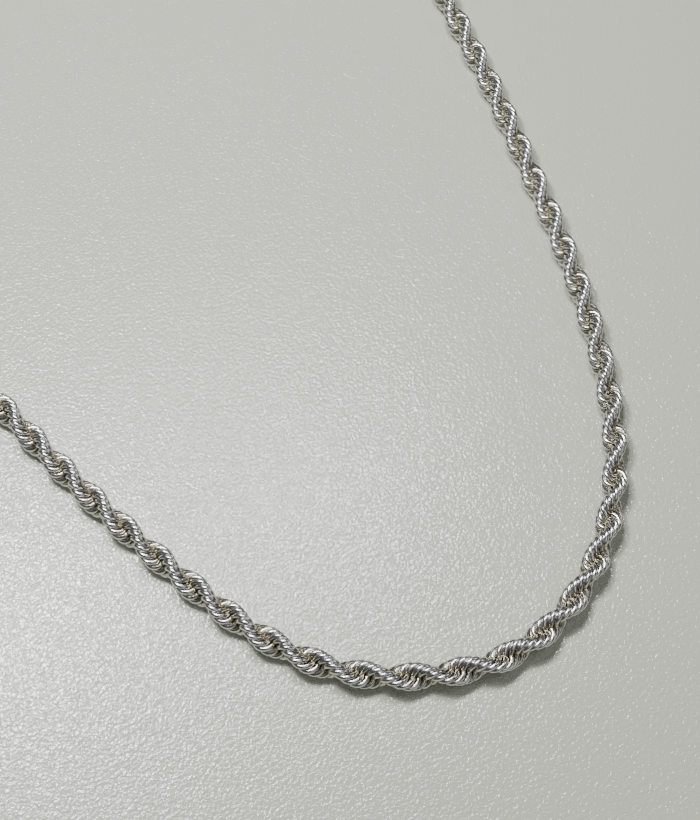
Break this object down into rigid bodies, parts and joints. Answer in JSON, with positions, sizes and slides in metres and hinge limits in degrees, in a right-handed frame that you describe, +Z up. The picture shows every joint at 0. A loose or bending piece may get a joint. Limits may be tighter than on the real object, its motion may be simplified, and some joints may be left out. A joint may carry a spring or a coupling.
{
  "type": "rope chain necklace",
  "caption": "Closed rope-chain necklace lying flat: two strands of small round links twisted round each other, with cup end caps, jump rings and a barrel clasp.",
  "frame": {"origin": "middle of the laid-out loop, on the surface that it rests on", "axes": "+Z up from the surface, +Y towards the clasp at the back of the neck, -Y towards the front of the loop, +X to the right seen from above"},
  "size_m": [0.1176, 0.1935, 0.0047],
  "materials": {
    "polished_silver_links": "polished sterling silver wire links, darker between the links",
    "polished_silver_findings": "polished sterling silver, smooth"
  },
  "bodies": {
    "root": {"chain_right": "polished_silver_links", "chain_left": "polished_silver_links", "end_cap_right": "polished_silver_findings", "end_cap_left": "polished_silver_findings", "jump_ring_right": "polished_silver_findings", "jump_ring_left": "polished_silver_findings", "clasp": "polished_silver_findings"}
  },
  "joints": []
}
